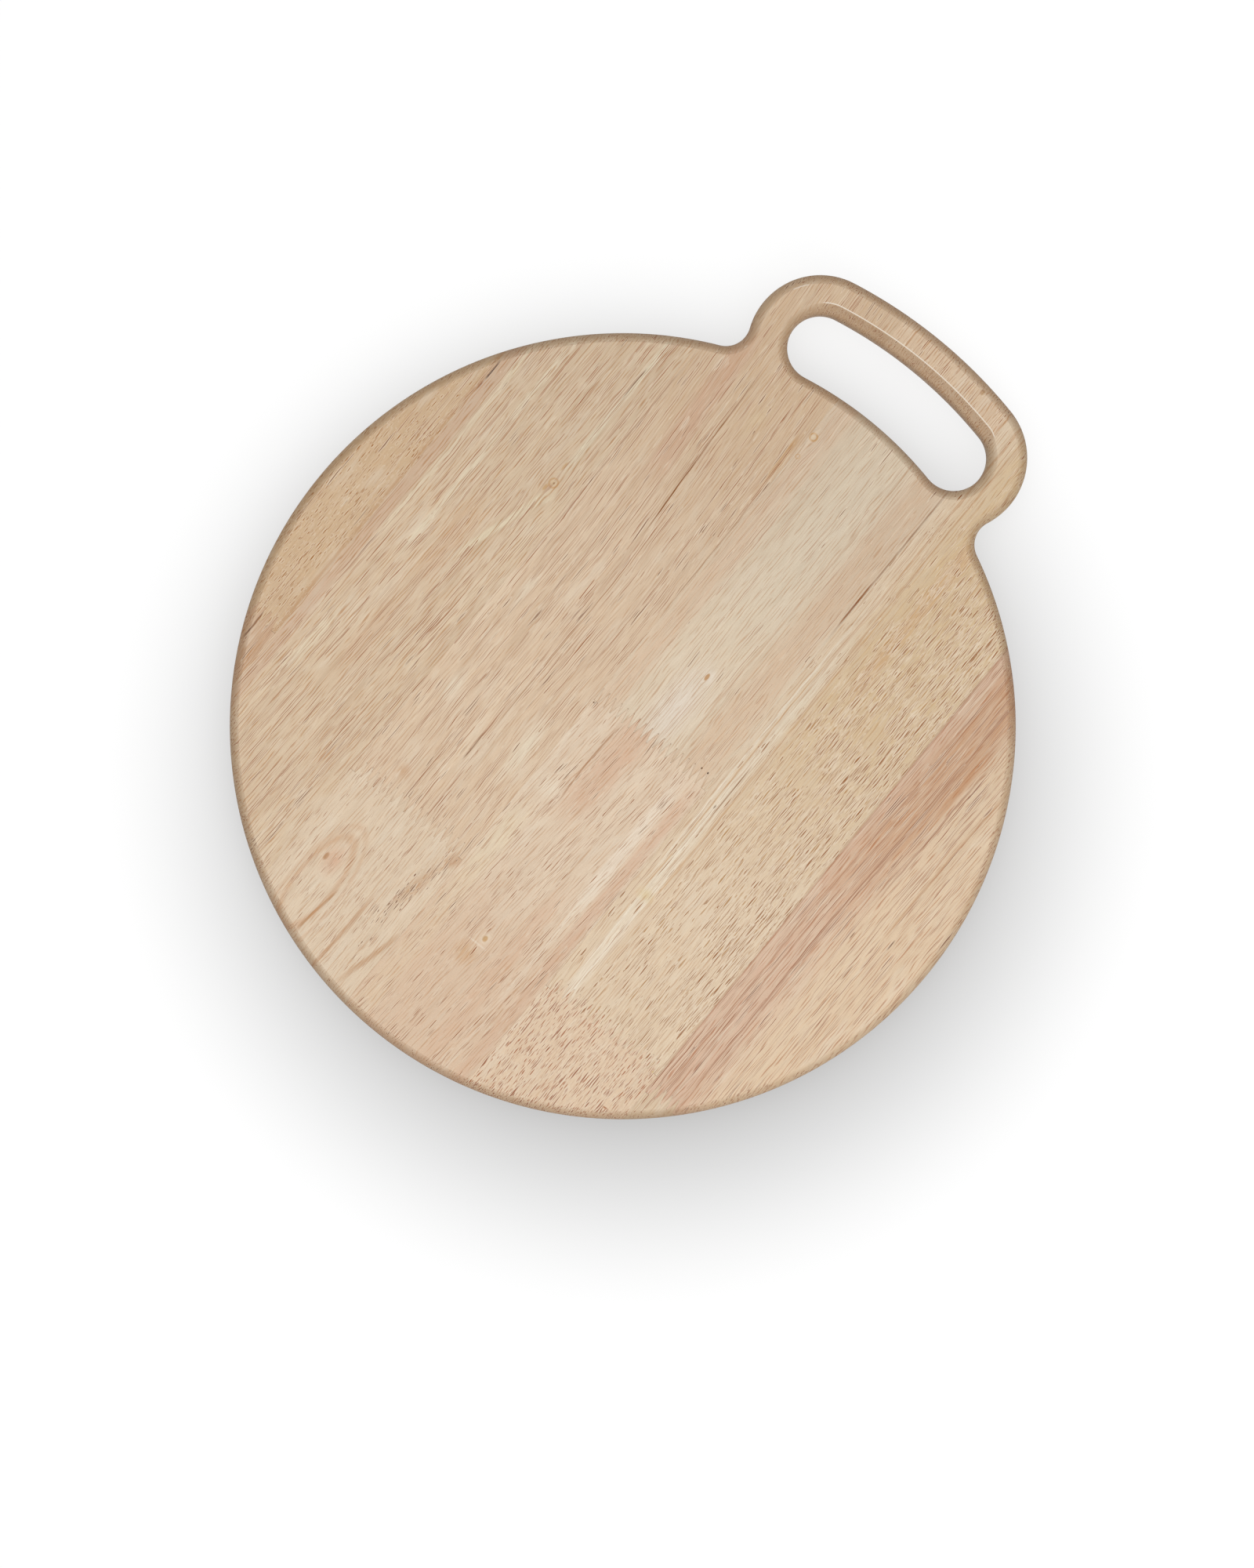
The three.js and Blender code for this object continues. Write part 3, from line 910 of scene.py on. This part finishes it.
paintWood("stave_4_lower", {
    "seed": 42,
    "wood": "#dfc8ae",
    "lowLean": 0.06,
    "leanFrom": -5,
    "lines": 0.4,
    "joint": 0.45,
    "pores": [
        {**longPores, "along": 14, "length": (5, 16), "density": 0.65},
        {**darkPores, "density": 0.06, "zones": [{"x": -12, "half": 8, "low": -120, "high": 0, "gain": 0.2}]},
    ],
    "knots": [{"at": (13.6, -121.6), "reach": 5, "push": 0.5}],
    "bands": [
        {"x": 8, "half": 12, "low": -48, "high": 12, "tone": "#d3ad90", "strength": 0.6},
        {"x": -2, "half": 0.6, "soft": 0.6, "low": -45, "high": -3, "ends": 5, "bow": 0.002, "pivot": -25,
         "straight": True, "tone": "#9c6538", "strength": 0.55},
        {"x": 38.5, "half": 4.5, "low": -80, "high": -8, "straight": True, "tone": "#ebdcc8", "strength": 0.6},
        {"x": 38.2, "half": 1.4, "low": -185, "high": -75, "straight": True, "tone": "#ecdfca", "strength": 0.48},
        {"x": 46, "half": 4.6, "high": -8, "straight": True, "tone": "#d3ab8f", "strength": 0.5},
        {"x": 28, "half": 6, "low": -190, "high": -85, "straight": True, "tone": "#d9b69a", "strength": 0.5},
        {"x": -12, "half": 8, "high": -62, "straight": True, "tone": "#e4d2b4", "strength": 0.6},
        {"x": 16, "half": 45, "soft": 0.2, "high": -105, "ends": 30, "straight": True, "tone": "#d3b193", "strength": 0.45},
    ],
    "spots": [
        {"at": (-9, -45), "size": (9, 9), "core": 0, "tone": "#ebddc6", "strength": 0.6, "frayed": True},
        {"at": (10, -132), "size": (9, 8), "core": 0, "tone": "#c99e70", "strength": 0.5, "frayed": True},
        {"at": (13.6, -121.4), "size": (3.4, 4.4), "core": 0.2, "tone": "#eee0c8", "strength": 0.45},
        {"at": (13.6, -121.4), "size": (1.6, 2.1), "core": 0.5, "tone": "#c39760", "strength": 0.8},
        {"at": (12, -125.5), "size": (7, 0.7), "slant": 1.33, "tone": "#f0e4d0", "strength": 0.4},
        {"at": (-18, 0), "size": (0.7, 0.5), "tone": "#3a281b", "strength": 0.9},
    ],
})
paintWood("stave_4_grip", {
    "seed": 43,
    "wood": "#d9bea0",
    "crease": 0.8,
    "pores": [{**longPores, "along": 11, "length": (4, 12)}, {**darkPores, "along": 9, "length": (3, 9)}],
    "spots": [{"at": (32.4, 234.4), "size": (1.6, 2), "tone": "#a97c4a", "strength": 0.7}],
})
paintWood("stave_5_upper", {
    "seed": 51,
    "wood": "#dfc8ab",
    "paintedTopShade": 0.92,
    "paintedTopShadeAlong": (-60, 130),
    "spread": 0.05,
    "lines": 0.4,
    "joint": 0.25,
    "pores": [
        {**longPores, "density": 0.45, "tone": "#9a5f2b", "strength": 0.65, "zones": [
            {"x": 99.5, "half": 4, "low": -15, "high": 75, "gain": 0.6},
        ]},
        {**shortPores, "across": 0.9, "along": 12, "width": (0.4, 0.66), "length": (4, 17), "density": 0.85, "faint": 0.6,
         "breaks": 6, "zones": [
            {"x": 58, "half": 14, "soft": 0.4, "straight": True, "gain": -0.7},
            {"x": 112, "half": 14, "low": -75, "high": 160, "gain": 0.25},
            {"x": 85, "half": 26, "low": -115, "high": -52, "gain": -0.35},
        ]},
        {**shortPores, "across": 1.8, "along": 9, "width": (0.7, 1.3), "length": (4, 13), "clump": 1.3, "crisp": 0.1, "breaks": 4,
         "clumpSize": (14, 24), "density": 0.3, "faint": 0.65, "tone": "#a8722a", "strength": 0.85, "zones": [
            {"x": 93, "half": 31, "soft": 0.4, "low": -70, "high": 120, "ends": 30, "straight": True, "gain": 0.35},
            {"x": 57, "half": 12, "soft": 0.3, "straight": True, "gain": -1},
        ]},
        {**darkPores, "across": 1.4, "along": 11, "width": (0.5, 0.95), "length": (4, 14), "clumpSize": (6, 16),
         "density": 0.05, "faint": 0.8, "tone": "#91530f", "zones": [
            {"x": 110, "half": 14, "soft": 0.5, "low": -80, "high": 160, "gain": 0.6},
            {"x": 96, "half": 24, "soft": 0.4, "low": 10, "high": 170, "gain": 0.35},
        ]},
    ],
    "bands": [
        {"x": 92, "half": 40, "soft": 0.5, "low": 20, "ends": 70, "tone": "#d3b486", "strength": 0.55},
        {"x": 57.8, "half": 0.9, "low": 20, "straight": True, "tone": "#bf9269", "strength": 0.5},
        {"x": 62.6, "half": 0.6, "low": 90, "straight": True, "tone": "#b98a60", "strength": 0.5},
        {"x": 59.5, "half": 4.5, "low": -70, "high": 95, "ends": 25, "straight": True, "tone": "#e7d9c2", "strength": 0.6},
        {"x": 61.5, "half": 4.5, "high": -65, "ends": 25, "straight": True, "tone": "#ecdfca", "strength": 0.48},
        {"x": 55.2, "half": 0.9, "low": -40, "high": 110, "ends": 30, "tone": "#efe4d0", "strength": 0.55},
        {"x": 58.8, "half": 0.7, "low": -110, "high": 20, "ends": 30, "tone": "#efe4d0", "strength": 0.5},
        {"x": 62.3, "half": 1, "high": -30, "ends": 30, "tone": "#efe4d0", "strength": 0.5},
        {"x": 57, "half": 0.5, "low": -70, "high": 90, "ends": 25, "tone": "#ba8448", "strength": 0.45},
        {"x": 64.2, "half": 0.6, "low": -60, "high": 120, "ends": 25, "tone": "#ba8448", "strength": 0.4},
        {"x": 60.6, "half": 0.5, "low": -6, "high": 22, "ends": 4, "straight": True, "tone": "#8d5b30", "strength": 0.7},
        {"x": 76, "half": 5, "low": 85, "high": 175, "straight": True, "tone": "#d0a678", "strength": 0.5},
        {"x": 119.6, "half": 0.6, "straight": True, "tone": "#b0835f", "strength": 0.4},
    ],
    "spots": [
        {"at": (59, -2), "size": (0.5, 1.6), "tone": "#5f4530", "strength": 0.85},
        {"at": (60, -56), "size": (7, 5), "core": 0, "tone": "#dcc48e", "strength": 0.5},
        {"at": (90, 12.5), "size": (0.6, 1), "tone": "#7d4a1e", "strength": 0.8},
        {"at": (114.5, -113.6), "size": (0.7, 0.7), "tone": "#33241a", "strength": 0.9},
    ],
})
paintWood("stave_5_lower", {
    "seed": 52,
    "wood": "#dec4a7",
    "spread": 0.05,
    "lines": 0.25,
    "pores": [
        {**shortPores, "across": 0.9, "along": 7, "width": (0.45, 0.8), "length": (2.5, 9), "breaks": 4,
         "density": 1.3, "faint": 0.65, "tone": "#a0541f"},
        {**darkPores, "along": 9, "width": (0.5, 0.85), "length": (3, 10), "density": 0.5, "faint": 0.75,
         "tone": "#8e4517"},
    ],
    "spots": [
        {"at": (117.5, -119.8), "size": (2, 0.9), "tone": "#cdb06c", "strength": 0.7},
        {"at": (110, -147.8), "size": (2.4, 0.7), "slant": 1.2, "tone": "#a4602f", "strength": 0.8},
    ],
})
paintWood("stave_6_upper", {
    "seed": 61,
    "wood": "#dfc5a6",
    "paintedTopShade": 0.94,
    "spread": 0.05,
    "lean": 0.02,
    "lines": 0.6,
    "lineTone": "#a8653a",
    "pores": [
        {**longPores, "along": 42, "length": (16, 60), "breaks": 16, "tone": "#8f4c22", "zones": [
            {"x": 134, "half": 17, "gain": 0.45},
            {"x": 172, "half": 20, "gain": -0.15},
        ]},
        {**darkPores, "across": 1.2, "along": 30, "length": (10, 36), "tone": "#7a3d20", "density": 0.05, "zones": [
            {"x": 134, "half": 17, "gain": 0.3},
        ]},
    ],
    "bands": [
        {"x": 127, "half": 27, "soft": 0.75, "tone": "#d5b49b", "strength": 0.8},
        {"x": 128, "half": 5, "soft": 0.9, "tone": "#cca182", "strength": 0.2},
        {"x": 139, "half": 6, "soft": 0.9, "tone": "#cca182", "strength": 0.25},
        {"x": 134, "half": 17, "low": 10, "ends": 50, "tone": "#c4956c", "strength": 0.55},
        {"x": 127, "half": 0.5, "soft": 0.5, "tone": "#9a5a30", "strength": 0.4},
        {"x": 131, "half": 0.5, "soft": 0.5, "tone": "#9a5a30", "strength": 0.4},
        {"x": 137.4, "half": 0.5, "soft": 0.5, "low": -108, "high": 130, "tone": "#8c4a24", "strength": 0.5},
        {"x": 138.8, "half": 0.4, "soft": 0.5, "low": -80, "high": 100, "tone": "#8c4a24", "strength": 0.4},
        {"x": 148, "half": 0.5, "soft": 0.5, "low": 20, "high": 90, "tone": "#8f4d24", "strength": 0.7},
        {"x": 144, "half": 2.5, "low": 66, "high": 104, "tone": "#c08a5f", "strength": 0.55},
        {"x": 162, "half": 1, "low": 5, "high": 86, "tone": "#b98a60", "strength": 0.55},
        {"x": 120.4, "half": 0.6, "straight": True, "tone": "#a97656", "strength": 0.5},
    ],
    "spots": [
        {"at": (132, -104), "size": (0.9, 4.5), "tone": "#96532f", "strength": 0.75},
        {"at": (167, 0), "size": (0.5, 4), "tone": "#6b4026", "strength": 0.85},
        {"at": (159, -23), "size": (0.45, 6), "tone": "#7d4c2c", "strength": 0.75},
        {"at": (149.5, -8), "size": (0.4, 3), "tone": "#7d4c2c", "strength": 0.75},
    ],
})
paintWood("stave_6_lower", {
    "seed": 62,
    "wood": "#d5bda0",
    "lines": 0.3,
    "joint": 0.2,
    "pores": [{**longPores, "density": 0.4}],
})
print("wood mixed for", len(staves), "pieces")

# Camera straight above, turned so that the handle points as in the photograph
photoView = {
    "frameHeight": 2000,
    "frameMiddle": (800, 1000),
    "roundMiddle": (794.6, 926.3),
    "roundRadius": 501.4,
    "handleTurn": radians(50.7),
    "distance": 2.5,
    "sensor": 36,
}
metresPerPixel = roundRadius / photoView["roundRadius"]
cameraTurn = pi / 2 - photoView["handleTurn"]
imageRight = Vector((cos(cameraTurn), sin(cameraTurn), 0))
imageUp = Vector((-sin(cameraTurn), cos(cameraTurn), 0))
acrossPixels = photoView["frameMiddle"][0] - photoView["roundMiddle"][0]
upPixels = photoView["roundMiddle"][1] - photoView["frameMiddle"][1]
aim = (imageRight * acrossPixels + imageUp * upPixels) * metresPerPixel
rimLevel = boardTop - edgeDrop
bpy.ops.object.camera_add(location=(aim.x, aim.y, photoView["distance"]), rotation=(0, 0, cameraTurn))
camera = bpy.context.active_object
camera.data.sensor_width = photoView["sensor"]
frameMetres = photoView["frameHeight"] * metresPerPixel
camera.data.lens = photoView["sensor"] * (photoView["distance"] - rimLevel) / frameMetres
scene.camera = camera

# Pale floor. Seen directly it is white with a wide soft shade, drawn down the picture as in the photograph.
paleFloor = {
    "span": 12,
    "drop": 0.0004,
    "shadeDrop": 0.028,
    "shadeAside": 0.0065,
    "shadeReach": (0.12, 0.27),
    "shadeLevel": 0.62,
    "shadowShare": 0.2,
    "seenTone": (0.9, 0.9, 0.9, 1),
    "bounceTone": (0.35, 0.35, 0.35, 1),
    "glow": 1.05,
}
bpy.ops.mesh.primitive_plane_add(size=paleFloor["span"], location=(0, 0, -paleFloor["drop"]))
floor = bpy.context.active_object
floor.name = "paleFloor"
bpy.ops.object.transform_apply(location=True, rotation=False, scale=False)
floorPaint = bpy.data.materials.new("paleFloor")
floorPaint.use_nodes = True
tree = floorPaint.node_tree
tree.nodes.remove(tree.nodes["Principled BSDF"])
rays = addNode(tree, "LightPath", {})
seen = calc(tree, "ADD", rays.outputs["Is Camera Ray"], rays.outputs["Is Glossy Ray"])
seen = calc(tree, "ADD", seen, rays.outputs["Is Transmission Ray"])
floorPlace = addNode(tree, "TexCoord", {}).outputs["Object"]
# painted shadow: the floor's glow is darkened in a wide soft disc round the board, centred a little off the board's
# middle
shadeMiddle = imageRight * paleFloor["shadeAside"] - imageUp * paleFloor["shadeDrop"]
fromMiddle = addNode(tree, "VectorMath", {0: floorPlace, 1: shadeMiddle}, operation="DISTANCE").outputs["Value"]
nearReach, farReach = paleFloor["shadeReach"]
shade = fade(tree, fromMiddle, farReach, nearReach, 0, paleFloor["shadeLevel"])
glowLevel = calc(tree, "SUBTRACT", paleFloor["glow"], shade)
glow = addNode(tree, "Emission", {"Color": (1, 1, 1, 1), "Strength": glowLevel})
matteTone = lay(tree, seen, paleFloor["bounceTone"], paleFloor["seenTone"])
matte = addNode(tree, "BsdfDiffuse", {"Color": matteTone})
share = calc(tree, "MULTIPLY", seen, 1 - paleFloor["shadowShare"])
mixed = addNode(tree, "MixShader", {0: share, 1: matte.outputs[0], 2: glow.outputs[0]})
tree.links.new(mixed.outputs[0], tree.nodes["Material Output"].inputs["Surface"])
floor.data.materials.append(floorPaint)
print("camera and floor placed")

# Plain soft studio light: a surround that is brightest overhead, and one wide lamp from the picture's lower right
studioLight = {"overhead": 1.22, "horizon": 0.15, "lampSize": 1.6, "lampDistance": 2.6, "lampPower": 14,
               "lampHeight": radians(38), "lampTurn": radians(-60)}
world = bpy.data.worlds.new("studio")
scene.world = world
world.use_nodes = True
tree = world.node_tree
skyPlace = addNode(tree, "TexCoord", {}).outputs["Generated"]
skyHeight = addNode(tree, "SeparateXYZ", {0: skyPlace}).outputs[2]
level = addNode(tree, "MapRange", {"Value": skyHeight, "To Min": studioLight["horizon"], "To Max": studioLight["overhead"]})
rays = addNode(tree, "LightPath", {})
level = fade(tree, rays.outputs["Is Camera Ray"], 0, 1, level.outputs[0], 1)
tree.nodes["Background"].inputs["Color"].default_value = (1, 1, 1, 1)
tree.links.new(level, tree.nodes["Background"].inputs["Strength"])
lampTurn = studioLight["lampTurn"]
lampHeight = studioLight["lampHeight"]
towardsLamp = (imageRight * cos(lampTurn) + imageUp * sin(lampTurn)) * cos(lampHeight)
towardsLamp.z = sin(lampHeight)
bpy.ops.object.light_add(type="AREA", location=towardsLamp * studioLight["lampDistance"])
lamp = bpy.context.active_object
lamp.rotation_euler = towardsLamp.to_track_quat("Z", "Y").to_euler()
lamp.data.shape = "DISK"
lamp.data.size = studioLight["lampSize"]
lamp.data.energy = studioLight["lampPower"]
print("light set")
